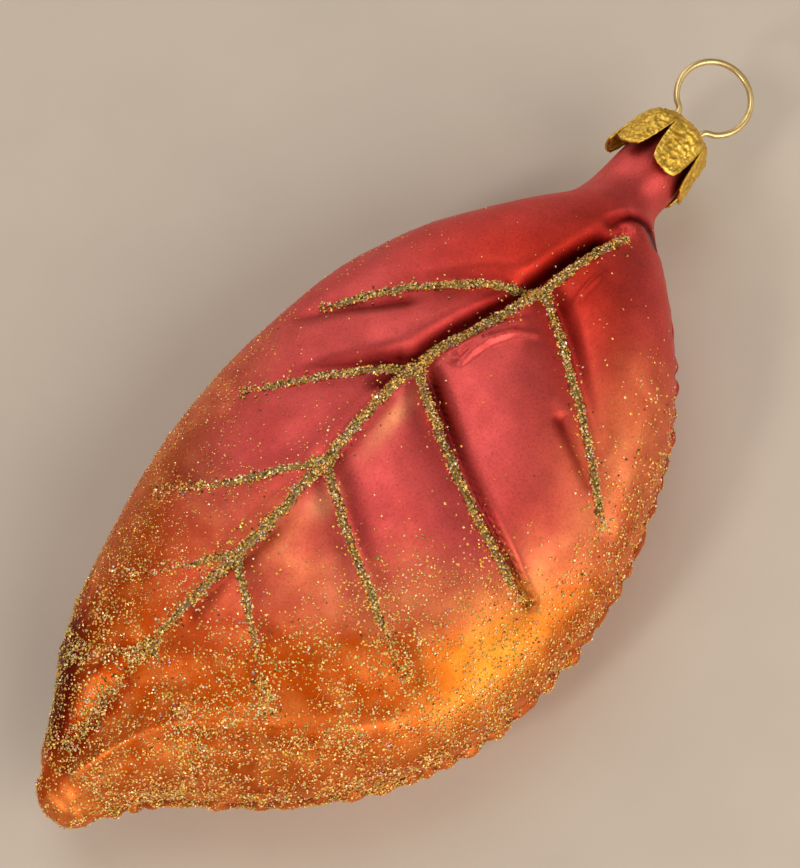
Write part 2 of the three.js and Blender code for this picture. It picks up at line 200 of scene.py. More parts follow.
RIDGES = [
    ([[6.5, 0.0], [10.1, -1.2], [14.5, -2.6], [18.0, -4.0]], 1.1, 0.42),
    ([[8.0, -0.9], [8.2, -2.4], [9.6, -2.4], [12.6, -2.9], [15.5, -4.4], [17.2, -6.5]], 1.1, 0.42),
    ([[23.9, -7.3], [26.6, -6.9], [29.8, -6.8]], 0.6, 0.45),
]


def station(u):
    u = np.asarray(u, float)
    n = len(STATIONS)
    v = np.maximum(u, 1.0)
    k = np.clip(np.floor(v - 1).astype(int), 0, n - 2)
    f = np.clip(v - 1 - k, 0, 1)[..., None]
    S = lambda i: STATIONS[np.clip(i, 0, n - 1)]
    p1, p2 = S(k), S(k + 1)
    p0 = np.where((k == 0)[..., None], 2 * p1 - p2, S(k - 1))
    p3 = np.where((k == n - 2)[..., None], 2 * p2 - p1, S(k + 2))
    m1, m2 = (p2 - p0) / 2, (p3 - p1) / 2
    s = (2 * f ** 3 - 3 * f ** 2 + 1) * p1 + (f ** 3 - 2 * f ** 2 + f) * m1 + (-2 * f ** 3 + 3 * f ** 2) * p2 + (f ** 3 - f ** 2) * m2
    t = np.clip(u, 0, 1)
    a = np.pi / 2 * t
    size = np.where(u < 1, np.sin(a), 1.0)
    x = np.where(u < 1, TIP_X + (STATIONS[0, 0] - TIP_X) * (1 - np.cos(a)), s[..., 0])
    yc = (s[..., 1] + s[..., 2]) / 2
    yc = np.where(u < 1, TIP_Y + (yc - TIP_Y) * t, yc)
    return x, yc, (s[..., 1] - s[..., 2]) / 2 * size, s[..., 3] * size, s[..., 4] * size


def even_u(n, u0, u1):
    """Section positions with even steps along the leaf's outlines."""
    u = np.linspace(u0, u1, 3000)
    x, yc, w, top, bot = station(u)
    step = np.zeros(len(u) - 1)
    for e in (np.stack([x, yc + w], -1), np.stack([x, yc - w], -1), np.stack([x, top], -1)):
        step = np.maximum(step, np.linalg.norm(np.diff(e, axis=0), axis=1))
    d = np.r_[0, np.cumsum(step)]
    return np.interp(np.linspace(0, d[-1], n), d, u)


def sections(us, half, inset=0.0):
    """Rings of 2*half points, evenly spaced round each section. Returns position, angle, band (distance up from the nearer seam)."""
    x, yc, w, top, bot = station(us)
    deeper = 1.9 * (1 - sstep(38, 44, x)) if inset > 0 else 0.0
    w, top, bot = [np.maximum(a - inset - deeper, 0.02) for a in (w, top, bot)]
    n = FULLNESS + (2 - FULLNESS) * sstep(36, 44, x)
    dense = np.linspace(0, np.pi, 500)
    P = np.zeros((len(us), 2 * half, 3))
    TH = np.zeros((len(us), 2 * half))
    BAND = np.zeros((len(us), 2 * half))
    for i in range(len(us)):
        e = 2 / n[i]
        for part, h in ((0, top[i]), (1, bot[i])):
            c, s = np.cos(dense), np.sin(dense)
            yy, zz = w[i] * np.sign(c) * np.abs(c) ** e, h * np.abs(s) ** e
            d = np.r_[0, np.cumsum(np.hypot(np.diff(yy), np.diff(zz)))]
            t = np.interp(np.arange(half) / half * d[-1], d, dense)
            c, s = np.cos(t), np.sin(t)
            yy, zz = w[i] * np.sign(c) * np.abs(c) ** e, h * np.abs(s) ** e
            arc = np.arange(half) / half * d[-1]
            band = np.minimum(arc, d[-1] - arc)
            if part == 0:
                P[i, :half] = np.stack([np.full(half, x[i]), yc[i] + yy, zz], -1)
                TH[i, :half], BAND[i, :half] = t, band
            else:
                P[i, half:] = np.stack([np.full(half, x[i]), yc[i] - yy, -zz], -1)
                TH[i, half:], BAND[i, half:] = np.pi + t, -band
    return P, TH, BAND


def relief(x, y):
    total = np.zeros(x.shape)
    for line, strength, tail in [(MIDRIB, 1.0, 0.2)] + [(v, k, 0.35) for v, k in zip(LEFT, LEFT_DEPTH)] + [(v, k, 0.28) for v, k in zip(RIGHT, RIGHT_DEPTH)]:
        d, at, side = polydist(line, x, y)
        lean = 1 - 0.5 * sstep(-0.8, 0.8, d * side) if line is MIDRIB else 1.0      # shallower on the wide side of the midrib
        g = strength * (1 + (tail - 1) * at) * (GROOVE * lean * gauss(d, GROOVE_W) + PUFF * gauss(d, PUFF_W))
        total += g ** 4
    return total ** 0.25


def front_detail(x, y):
    """Creases, ridges and the rim fold of the front, as a height to add, and a 0..1 mask of painted shade for the
    folds.
    """
    dz, painted_shade = np.zeros(x.shape), np.zeros(x.shape)
    for line, depth, width, a, b, *wide in CREASES:
        d, at, side = polydist(line, x, y)
        if wide:
            d = np.where(side * wide[0] > 0, d / abs(wide[0]), d)
        k = (a + (b - a) * at)
        ends = sstep(-0.001, 0.12, at) * 0.75 + 0.25
        dz -= depth * k * gauss(d, width) * ends
        painted_shade = np.maximum(painted_shade, np.clip(depth * k, 0, 1.2) * gauss(d, width * 1.15) * ends)
    for line, height, width in RIDGES:
        d, at, _ = polydist(line, x, y)
        dz += height * gauss(d, width) * np.sin(np.pi * np.clip(at, 0.05, 0.95)) ** 0.5
    d, at, side = polydist(CREST, x, y)
    sd = d * side                       # the crest runs from tip to neck, so the inner side is +
    k = sstep(0.0, 0.06, at) * (1 - sstep(0.86, 1.0, at))
    sharp = 0.15 + 0.85 * (1 - sstep(-36, -22, x))
    dz += k * (0.70 * sharp * gauss(d, 1.3) - (0.30 + 0.1 * sharp) * gauss(sd - 4.4, 3.0))
    return dz, np.clip(painted_shade, 0, 1)


def grid_normals(P):
    """Outward unit normals of a ring grid (rings along axis 0, closed round axis 1)."""
    du = np.gradient(P, axis=0)
    dv = np.roll(P, -1, axis=1) - np.roll(P, 1, axis=1)
    n = np.cross(dv, du)
    n /= np.maximum(np.linalg.norm(n, axis=-1, keepdims=True), 1e-9)
    out = P - P.mean(axis=1, keepdims=True)
    flip = np.sign((n * out).sum(-1).mean())
    return n * flip


def glass_surface(us, half, inset=0.0, fine=True):
    P, TH, BAND = sections(us, half, inset)
    X, Y = P[..., 0], P[..., 1]
    sn = np.sin(TH)
    fade = sstep(0.05, 0.5, np.abs(sn)) * (1 - sstep(35, 41, X)) * sstep(-62, -56, X)
    # the pads of the back settle softly onto one level
    limit, soft = BASE_DEPTH - inset, 1.6
    Z = P[..., 2]
    deep = -Z > limit - soft
    Z = np.where(deep, -(limit - soft * np.exp(-(-Z - (limit - soft)) / soft)), Z)
    if inset > 0:
        depth = relief(X, Y)
        for k in range(8):
            depth = np.maximum(depth, relief(X + 2.3 * math.cos(k * math.pi / 4), Y + 2.3 * math.sin(k * math.pi / 4)))
        depth = depth + 0.9 * (sn > 0)
    else:
        depth = relief(X, Y)
    Z = np.where(sn > 0, Z - fade * depth, Z + 0.6 * fade * depth)
    painted_shade = np.zeros(X.shape)
    if fine:
        top = sn > 0
        dz, painted_shade = front_detail(X, Y)
        fade2 = sstep(0.05, 0.4, np.abs(sn)) * sstep(-63, -57, X)
        Z = np.where(top, Z + fade2 * dz, Z)
        painted_shade = np.where(top, painted_shade * fade2, 0)
    P = np.stack([X, Y, Z], -1)
    if fine:
        N = grid_normals(P)
        # slow hand-blown unevenness, and a finer lacquer-soft one
        q = P.reshape(-1, 3)
        slow = fbm(q / 9.0, 2, 3).reshape(X.shape)
        quick = fbm(q / 2.4, 2, 8).reshape(X.shape)
        body = 1 - sstep(34, 40, X)
        P = P + N * ((0.16 * slow + 0.035 * quick) * body)[..., None]
        # the seam: a fold line with a row of small lobes above it and another below
        side_left = np.cos(TH) > 0
        edge_l, edge_r = P[:, 0, :2], P[:, half, :2]
        s_l = np.r_[0, np.cumsum(np.linalg.norm(np.diff(edge_l, axis=0), axis=1))]
        s_r = np.r_[0, np.cumsum(np.linalg.norm(np.diff(edge_r, axis=0), axis=1))]
        s = np.where(side_left, s_l[:, None], s_r[:, None])
        warp = fbm(np.stack([s.ravel() / 7.0, side_left.ravel() * 9.0, 0 * s.ravel()], -1), 2, 21).reshape(s.shape)
        wave = fbm(np.stack([s.ravel() / 3.0, side_left.ravel() * 9.0 + 4, 0 * s.ravel()], -1), 1, 22).reshape(s.shape)
        b = BAND - np.where(side_left, 0.2, 0.85)
        above = b >= 0
        lean = s + 2.6 * warp + 0.55 * b
        pitch = np.where(above, 2.9, 3.6)
        lobe = np.abs(np.cos(np.pi * (lean + np.where(above, 0.0, 1.45)) / pitch))
        lobe = lobe ** 0.9
        amp = np.where(above, 0.50, 0.82) * (1 + 0.7 * wave) * np.where(side_left, 0.65, 1.0)
        bump = amp * (lobe - 0.42) * gauss(np.abs(b) - np.where(above, 1.25, 1.45), np.where(above, 0.95, 1.2))
        bump += np.where(above, 0.0, 0.30) * gauss(np.abs(b) - 1.3, 1.2)
        crinkle = 0.10 * fbm(P.reshape(-1, 3) / np.array([1.3, 1.3, 0.9]), 2, 61).reshape(s.shape) * gauss(np.maximum(np.abs(b) - 2.0, 0), 2.5)
        fold = -(0.85 + 0.25 * wave) * gauss(b, 0.46) * np.where(side_left, 0.6, 1.0)
        edge_on = sstep(-62.5, -58, X) * (1 - sstep(33, 39, X))
        P = P + N * (edge_on * (bump + fold + crinkle))[..., None]
        # painted shade along the seam's fold line and in the pleats between its lobes
        pleat = gauss(np.abs(b) - 1.2, 1.5) * (1 - lobe) ** 1.6
        painted_shade = np.maximum(painted_shade, edge_on * np.maximum(1.0 * gauss(b, 0.62) * np.where(side_left, 0.6, 1.0), 0.85 * pleat * np.where(above, 0.6, 1.0)))
    return P, TH, BAND, painted_shade


NU, HALF = ((276, 158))
US = even_u(NU, 0.06, len(STATIONS))
OUT, TH, BAND, PAINTED_SHADE = glass_surface(US, HALF)
NT = 2 * HALF


def mesh_object(name, verts, faces, smooth=True):
    me = bpy.data.meshes.new(name)
    me.from_pydata([tuple(v) for v in verts], [], [tuple(int(i) for i in f) for f in faces])
    me.update()
    if smooth:
        me.polygons.foreach_set("use_smooth", np.ones(len(me.polygons), bool))
    o = bpy.data.objects.new(name, me)
    bpy.context.scene.collection.objects.link(o)
    return o


def ring_faces(rows, cols, base=0, flip=False):
    i, j = np.meshgrid(np.arange(rows - 1), np.arange(cols), indexing="ij")
    a = base + i * cols + j
    b = base + i * cols + (j + 1) % cols
    c, d = b + cols, a + cols
    f = np.stack([a, b, c, d], -1).reshape(-1, 4)
    return f[:, ::-1] if flip else f


# ---- closed glass body: outer face, a band closing the mouth, inner face
inner_us = even_u(34, 1.1, len(STATIONS))
INN, _, _, _ = glass_surface(inner_us, HALF, inset=0.95, fine=False)
outer_n = OUT.shape[0] * NT
verts = np.concatenate([OUT.reshape(-1, 3), INN.reshape(-1, 3), [[TIP_X, TIP_Y, 0.0]], [[float(INN[0, :, 0].mean()) - 0.4, float(INN[0, :, 1].mean()), 0.0]]])
tip_out, tip_in = len(verts) - 2, len(verts) - 1
faces = list(map(list, ring_faces(OUT.shape[0], NT)))
faces += list(map(list, ring_faces(INN.shape[0], NT, outer_n, True)))
last_o, last_i = (OUT.shape[0] - 1) * NT, outer_n + (INN.shape[0] - 1) * NT
for j in range(NT):
    k = (j + 1) % NT
    faces.append([last_o + j, last_o + k, last_i + k, last_i + j])
    faces.append([tip_out, k, j])
    faces.append([tip_in, outer_n + j, outer_n + k])
glass = mesh_object("glass_leaf_blown", place(verts), faces)

# ---- lacquer colour, with painted shade and painted highlights, worked out per point of the surface
def outline_distance(x, y):
    """Distance in plan from the leaf's outline, in mm."""
    u = np.linspace(0.0, 16.0, 160)
    sx, syc, sw, _, _ = station(u)
    left, right = np.stack([sx, syc + sw], -1), np.stack([sx, syc - sw], -1)
    return np.minimum(polydist(left, x, y)[0], polydist(right, x, y)[0])


def lacquer(P, th, painted_shade):
    """Linear RGB of the tinted lacquer over silver, with painted shade and painted highlights worked in."""
    x, y, z = P[:, 0], P[:, 1], P[:, 2]
    de = outline_distance(x, y)
    blot = fbm(P / 11.0, 3, 40)
    grain = fbm(P / 2.0, 2, 44)
    left = y > 1.5
    tip = sstep(-14, -44, x + 5.5 * blot)
    lower = sstep(-6, -30, x + 5 * blot + 0.62 * (y + 16)) * sstep(-3, -22, y)
    margin = gauss(np.maximum(de - 1.0, 0), np.where(left, 5.0, 6.0)) * np.where(left, 1 - sstep(-24, -2, x), 1 - sstep(6, 30, x))
    orange = np.clip(0.95 * tip + 0.9 * lower + 0.85 * margin, 0, 1)
    deep = np.array([0.66, 0.036, 0.014])
    pink = np.array([0.76, 0.110, 0.106])
    warm = np.array([0.66, 0.098, 0.004])
    pale = np.array([0.84, 0.24, 0.050])
    mid = np.clip(1 - sstep(12, 30, x + 0.45 * np.abs(y + 4)), 0, 1)
    rosy_and_sheen = 0.12 + 0.88 * mid
    # the margin and neck terms of this blend are a painted sheen, pinker where the lacquer catches the light; the rest
    # is the lacquer's own tone
    rosy_and_sheen = np.clip(rosy_and_sheen * (0.9 + 0.25 * blot) + 0.6 * gauss(de - 2, 5.5) + 0.55 * sstep(37, 43, x), 0, 1)
    # painted highlight: a salmon patch on the wide side's upper panel near its edge
    painted_highlight_right = gauss(np.hypot((x - 15.5) / 10.5, (y + 21.5) / 5.0), 1.0) * (z > 0)
    c = deep + (pink - deep) * rosy_and_sheen[:, None]
    c = c + (np.array([0.90, 0.175, 0.085]) - c) * (0.9 * painted_highlight_right)[:, None]
    w = warm + (pale - warm) * np.clip(0.12 + 0.7 * grain + 0.5 * gauss(de - 2, 6) * (y < 0) + 0.5 * (z < 4) * (y < 0), 0, 1)[:, None]
    c = c + (w - c) * orange[:, None]
    # peach where the pink fades into the orange of the wide side, and paler along the narrow side's margin
    peach = 2.4 * orange * (1 - orange) * np.where(left, 0.45, 0.9) * sstep(-33, -22, x) * (z > 0)
    peach = np.maximum(peach, 0.55 * sstep(-44, -34, x) * (1 - sstep(-12, 4, x)) * left * gauss(np.maximum(de - 1.5, 0), 4.0) * (z > -2))
    c = c + (np.array([0.92, 0.32, 0.135]) - c) * np.clip(peach * (0.85 + 0.5 * grain), 0, 0.9)[:, None]
    # painted shade: the creases and the seam's folds are darkened
    shade = 1 - 0.88 * np.clip(painted_shade, 0, 1)
    c = c * shade[:, None] ** np.array([0.85, 1.45, 1.45])
    # painted shade: a dark wine band along the narrow side's edge near the tip, and dark streaks beside the midrib's
    # end
    su = np.linspace(0.0, 9.0, 90)
    sx, syc, sw, _, _ = station(su)
    dl = polydist(np.stack([sx, syc + sw], -1), x, y)[0]
    painted_shade_edge = gauss(np.maximum(dl - 1.8, 0), 2.0) * sstep(-40, -46, x + 3 * grain) * (1 - sstep(-56, -60, x)) * sstep(-9, -5, z)
    painted_shade_streak = 0.6 * gauss(polydist([[-47.0, 0.6], [-52.0, 0.9], [-57.5, 0.4], [-61.0, -0.4]], x, y)[0], 0.8)
    painted_shade_streak = np.maximum(painted_shade_streak, 0.45 * gauss(polydist([[-44.0, 3.6], [-48.5, 5.2], [-52.0, 6.3]], x, y)[0], 0.8)) * (z > 0)
    painted_shade_edge = np.clip(np.maximum(0.9 * painted_shade_edge, painted_shade_streak), 0, 1)
    c = c * (1 - 0.86 * painted_shade_edge)[:, None] ** np.array([0.8, 1.7, 1.7])
    # painted highlight: a brighter yellow patch on the wide side
    painted_highlight_yellow = gauss(np.hypot((x + 15.5) / 9.0, (y + 28.8) / 4.5), 1.0) * (z > 4)
    c = c + (np.array([0.92, 0.36, 0.035]) - c) * (0.85 * np.clip(painted_highlight_yellow + 0.25 * grain * painted_highlight_yellow, 0, 1))[:, None]
    c = c * (1 + 0.10 * grain)[:, None]
    # painted highlight: two bright salmon patches beside the midrib past the second and third pairs of veins
    painted_highlight_patches = np.maximum(gauss(np.hypot((x + 3.2) / 4.4, (y + 1.3 - 0.10 * (x + 3.2)) / 1.15), 1.0), 1.1 * gauss(np.hypot((x + 16.2) / 2.4, (y + 2.3) / 1.5), 1.0))
    painted_highlight_patches = np.clip(painted_highlight_patches * (z > 0) * (1 + 0.35 * grain), 0, 1)
    c = c + (np.array([1.0, 0.37, 0.185]) - c) * (0.92 * painted_highlight_patches)[:, None]
    # painted shade: the narrow side's panels are a little darker
    c = c * (1 - 0.20 * sstep(1.5, 5.0, y) * sstep(-34, -24, x) * (1 - sstep(16, 28, x)) * (1 - gauss(np.maximum(de - 1.0, 0), 4.0)) * (z > 0))[:, None]
    # the neck under the crown is in its shade
    c = c * (1 - 0.68 * sstep(46.6, 49.8, x))[:, None]
    return np.clip(c, 0.001, 1)


allv = verts
col = np.ones((len(allv), 4), np.float32)
col[:, :3] = (0.22, 0.20, 0.18)
flat = OUT.reshape(-1, 3)
col[:outer_n, :3] = lacquer(flat, TH.ravel(), PAINTED_SHADE.ravel())
col[tip_out, :3] = col[0, :3]
# this colour attribute also carries the painted shade and painted highlights
attr = glass.data.color_attributes.new("lacquer", "FLOAT_COLOR", "POINT")
attr.data.foreach_set("color", col.ravel())


# ------------------------------------------------------------------ materials
def new_material(name):
    m = bpy.data.materials.new(name)
    m.use_nodes = True
    nt = m.node_tree
    for n in list(nt.nodes):
        nt.nodes.remove(n)
    out = nt.nodes.new("ShaderNodeOutputMaterial")
    sh = nt.nodes.new("ShaderNodeBsdfPrincipled")
    nt.links.new(sh.outputs[0], out.inputs[0])
    return m, nt, sh


def node(nt, kind, **kw):
    n = nt.nodes.new(kind)
    for k, v in kw.items():
        if k.startswith("_"):
            setattr(n, k[1:], v)
        else:
            n.inputs[k].default_value = v
    return n


def ramp(nt, src, stops):
    r = nt.nodes.new("ShaderNodeValToRGB")
    els = r.color_ramp.elements
    while len(els) > 1:
        els.remove(els[-1])
    els[0].position, els[0].color = stops[0][0], stops[0][1]
    for p, c in stops[1:]:
        e = els.new(p)
        e.color = c
    nt.links.new(src, r.inputs[0])
    return r


def grey(v):
    return (v, v, v, 1)


glass_mat, nt, sh = new_material("silvered_lacquer")
tc = node(nt, "ShaderNodeTexCoord")
at = node(nt, "ShaderNodeAttribute", _attribute_name="lacquer")
speck = node(nt, "ShaderNodeTexNoise", Scale=3400.0, Detail=3.0, Roughness=0.6)
nt.links.new(tc.outputs["Object"], speck.inputs["Vector"])
sr = ramp(nt, speck.outputs["Fac"], [(0.30, grey(0.78)), (0.47, grey(0.98)), (0.70, grey(1.08))])
mul = node(nt, "ShaderNodeMix", _data_type="RGBA", _blend_type="MULTIPLY")
mul.inputs["Factor"].default_value = 1.0
nt.links.new(at.outputs["Color"], mul.inputs[6])
nt.links.new(sr.outputs[0], mul.inputs[7])
nt.links.new(mul.outputs[2], sh.inputs["Base Color"])
rn = node(nt, "ShaderNodeTexNoise", Scale=240.0, Detail=3.0, Roughness=0.55)
nt.links.new(tc.outputs["Object"], rn.inputs["Vector"])
rr = ramp(nt, rn.outputs["Fac"], [(0.35, grey(0.43)), (0.68, grey(0.55))])
nt.links.new(rr.outputs[0], sh.inputs["Roughness"])
bn = node(nt, "ShaderNodeTexNoise", Scale=1500.0, Detail=3.0, Roughness=0.6)
nt.links.new(tc.outputs["Object"], bn.inputs["Vector"])
bump = node(nt, "ShaderNodeBump", Strength=0.22, Distance=0.00012)
nt.links.new(bn.outputs["Fac"], bump.inputs["Height"])
nt.links.new(bump.outputs[0], sh.inputs["Normal"])
sh.inputs["Metallic"].default_value = 0.97
glass.data.materials.append(glass_mat)
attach(glass, "root")
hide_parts("glass_leaf")


def metal(name, color, rough, color2, scale, bump_scale, bump_strength, spread=0.12):
    m, nt, sh = new_material(name)
    tc = node(nt, "ShaderNodeTexCoord")
    n1 = node(nt, "ShaderNodeTexNoise", Scale=scale, Detail=4.0, Roughness=0.6)
    nt.links.new(tc.outputs["Object"], n1.inputs["Vector"])
    r1 = ramp(nt, n1.outputs["Fac"], [(0.32, (*color2, 1)), (0.62, (*color, 1))])
    nt.links.new(r1.outputs[0], sh.inputs["Base Color"])
    r2 = ramp(nt, n1.outputs["Fac"], [(0.3, grey(rough + spread)), (0.7, grey(rough))])
    nt.links.new(r2.outputs[0], sh.inputs["Roughness"])
    n2 = node(nt, "ShaderNodeTexNoise", Scale=bump_scale, Detail=2.0, Roughness=0.5)
    nt.links.new(tc.outputs["Object"], n2.inputs["Vector"])
    b = node(nt, "ShaderNodeBump", Strength=bump_strength, Distance=0.00006)
    nt.links.new(n2.outputs["Fac"], b.inputs["Height"])
    nt.links.new(b.outputs[0], sh.inputs["Normal"])
    sh.inputs["Metallic"].default_value = 1.0
    return m


cap_mat = metal("embossed_gold_sheet", (0.98, 0.68, 0.125), 0.38, (0.60, 0.36, 0.045), 900.0, 3000.0, 0.25)
wire_mat = metal("gold_spring_wire", (0.86, 0.69, 0.36), 0.30, (0.70, 0.52, 0.22), 700.0, 2500.0, 0.12)


# ------------------------------------------------------------------ crown cap
def crown_cap():
    outer = np.array([[0, 0], [0, 2.5], [0.1, 3.0], [0.36, 3.7], [0.95, 4.5], [1.8, 5.1], [3.2, 5.5], [5.8, 5.95], [8.6, 6.38]], float)
    prof = smooth_line(outer, 200)
    d = np.r_[0, np.cumsum(np.linalg.norm(np.diff(prof, axis=0), axis=1))]
    rows = 86
    cols = 44
    total = d[-1]
    s = np.linspace(0.03, total, rows)
    half_cut = lambda depth: np.interp(depth, [1.9, 2.2, 3.4, 5.0, 6.9, 8.2, 8.6], [0.0, 0.05, 0.16, 0.42, 0.85, 1.40, 1.75])
    bm = bmesh.new()
    for p in range(6):
        centre = math.radians(60 * p)
        grid = []
        for i in range(rows):
            row = []
            for j in range(cols + 1):
                a = -1 + 2 * j / cols
                # the foot of a petal is bluntly pointed
                si = s[i] * (1 - 0.045 * abs(a) ** 3.2 * sstep(0.55, 1.0, s[i] / total))
                ax, r = np.interp(si, d, prof[:, 0]), np.interp(si, d, prof[:, 1])
                full = math.pi / 6
                cut = float(half_cut(ax)) / max(r, 1.0)
                ang = centre + a * (full - cut)
                flat_r = r * (1 - 0.018 * (1 - a * a) * sstep(1.5, 5.0, ax))
                row.append(bm.verts.new((-ax, flat_r * math.sin(ang), flat_r * math.cos(ang))))
            grid.append(row)
        for i in range(rows - 1):
            for j in range(cols):
                bm.faces.new((grid[i][j], grid[i + 1][j], grid[i + 1][j + 1], grid[i][j + 1]))
    bmesh.ops.remove_doubles(bm, verts=bm.verts, dist=0.012)
    # close the tiny hole left at the middle of the top
    edges = [e for e in bm.edges if e.is_boundary and all(math.hypot(v.co.y, v.co.z) < 0.4 for v in e.verts)]
    if edges:
        bmesh.ops.holes_fill(bm, edges=edges, sides=0)
    bmesh.ops.recalc_face_normals(bm, faces=bm.faces)
    me = bpy.data.meshes.new("cap_sheet")
    bm.to_mesh(me)
    bm.free()
    co = np.array([v.co for v in me.vertices], float)
    no = np.array([v.normal for v in me.vertices], float)
    out = np.stack([np.clip(0.4 + co[:, 0] * 0, 0, 1), co[:, 1], co[:, 2]], -1)
    if (no * out).sum() < 0:
        me.flip_normals()
        no = -no
    # embossing: hammered cells, a beaded border along each petal, and a small ring near its foot
    depth, r = -co[:, 0], np.hypot(co[:, 1], co[:, 2])
    ang = np.arctan2(co[:, 1], co[:, 2])
    sector = np.round(ang / (math.pi / 3))
    loc = ang - sector * math.pi / 3
    across = loc * r                                      # mm from the petal's middle
    half_w = (math.pi / 6) * r - half_cut(depth)
    edge = np.minimum(half_w - np.abs(across), 8.6 - 0.36 * (np.abs(across) / 1.6) ** 2 - depth)
    q = np.stack([depth, across + 20 * sector, 0 * r], -1)
    hammered = 0.17 * vnoise(q / 0.50, 5) + 0.10 * vnoise(q / 0.30 + 7, 6)
    along = np.where(half_w - np.abs(across) < 8.6 - depth, depth, across)
    bead = 0.10 * gauss(edge - 0.38, 0.24) * (0.2 + 0.8 * np.abs(np.cos(np.pi * along / 0.55)) ** 0.6)
    rim = -0.03 * gauss(edge - 0.82, 0.14)
    rr = np.hypot(depth - 6.2, across)
    ring = 0.08 * gauss(rr - 0.6, 0.17) - 0.05 * gauss(rr, 0.3)
    inside = sstep(0.75, 1.0, edge)
    clear = 1 - gauss(rr, 0.85)
    top = sstep(2.2, 3.2, r)
    h = (hammered * (0.35 + 0.65 * inside) * clear + bead + rim + ring) * (0.25 + 0.75 * top)
    co2 = co + no * h[:, None]
    me.vertices.foreach_set("co", co2.ravel())
    me.update()
    o = bpy.data.objects.new("crown_cap_embossed", me)
    bpy.context.scene.collection.objects.link(o)
    m = o.modifiers.new("sheet", "SOLIDIFY")
    m.thickness = 0.30
    m.offset = -1
    return o


def apply_modifiers(o):
    dg = bpy.context.evaluated_depsgraph_get()
    me = bpy.data.meshes.new_from_object(o.evaluated_get(dg))
    old = o.data
    o.modifiers.clear()
    o.data = me
    bpy.data.meshes.remove(old)


PETAL_TURN, RING_TILT = math.radians(26), math.radians(13.7)
LEG, WIRE_R, RING_R = 2.0, 0.43, 5.05
cap = crown_cap()
apply_modifiers(cap)
# two wire holes in the top
for side in (-1, 1):
    a = -(RING_TILT)                      # the cap is still unturned here
    hb = bmesh.new()
    bmesh.ops.create_cone(hb, cap_ends=True, segments=24, radius1=0.62, radius2=0.62, depth=2.4)
    hm = bpy.data.meshes.new("hole")
    hb.to_mesh(hm)
    hb.free()
    tilt = RING_TILT - PETAL_TURN
    hm.transform(Matrix.Translation((0, side * LEG * math.cos(tilt), side * LEG * math.sin(tilt))) @ Matrix.Rotation(math.pi / 2, 4, "Y"))
    ho = bpy.data.objects.new("hole", hm)
    bpy.context.scene.collection.objects.link(ho)
    whole = cap.data.copy()
    # an unlucky cut can turn the sheet inside out: try again with another solver or a hole turned by a hair
    for solver, turn in (("EXACT", 0.0), ("MANIFOLD", 0.0), ("EXACT", 0.031), ("FAST", 0.0), ("FAST", 0.031)):
        ho.rotation_euler = (turn, 0.0, 0.0)
        bo = cap.modifiers.new("hole", "BOOLEAN")
        bo.operation = "DIFFERENCE"
        bo.solver = solver
        bo.object = ho
        bpy.context.view_layer.update()
        apply_modifiers(cap)
        cap.modifiers.clear()
        kept = len(cap.data.vertices) / len(whole.vertices)
        print("cap hole", side, solver, turn, round(kept, 3))
        if 0.9 < kept < 1.1 and len(cap.data.vertices) != len(whole.vertices):
            break
        cap.data = whole.copy()
    bpy.data.objects.remove(ho)
cap.data.transform(Matrix.Rotation(PETAL_TURN, 4, "X"))
co = np.array([v.co for v in cap.data.vertices], float)
cap.data.vertices.foreach_set("co", place(co + [CAP_TOP_X, AXIS_Y, 0]).ravel())
cap.data.update()
cap.data.polygons.foreach_set("use_smooth", np.ones(len(cap.data.polygons), bool))
cap.data.materials.clear()
cap.data.materials.append(cap_mat)
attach(cap, "root")
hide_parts("crown_cap")


# ------------------------------------------------------------------ wire hanger
def sweep(path, radius, sides, name, closed_ends=True, wobble=None):
    """A round bar along path (N, 3), with rounded ends."""
    t = np.gradient(path, axis=0)
    t /= np.linalg.norm(t, axis=1)[:, None]
    n = np.array([0.0, 0.0, 1.0])
    frames = []
    for k in range(len(path)):
        n = n - t[k] * (n @ t[k])
        n /= np.linalg.norm(n)
        frames.append((n, np.cross(t[k], n)))
    ang = np.arange(sides) * 2 * np.pi / sides
    rings = []
    def ring(p, f, r):
        return p + r * (np.cos(ang)[:, None] * f[0] + np.sin(ang)[:, None] * f[1])
    for s in (0.25, 0.6, 0.85):
        rings.append(ring(path[0] - t[0] * radius * math.sqrt(1 - s * s) * 0.8, frames[0], radius * s))
    for k in range(len(path)):
        rings.append(ring(path[k], frames[k], radius * (1 if wobble is None else wobble[k])))
    for s in (0.85, 0.6, 0.25):
        rings.append(ring(path[-1] + t[-1] * radius * math.sqrt(1 - s * s) * 0.8, frames[-1], radius * s))
    R = np.array(rings)
    rows = len(R)
    v = R.reshape(-1, 3)
    f = list(map(list, ring_faces(rows, sides, 0, True)))
    v = np.vstack([v, path[0] - t[0] * radius * 0.8, path[-1] + t[-1] * radius * 0.8])
    a, b = len(v) - 2, len(v) - 1
    for j in range(sides):
        k = (j + 1) % sides
        f.append([a, j, k])
        f.append([b, (rows - 1) * sides + k, (rows - 1) * sides + j])
    return v, f


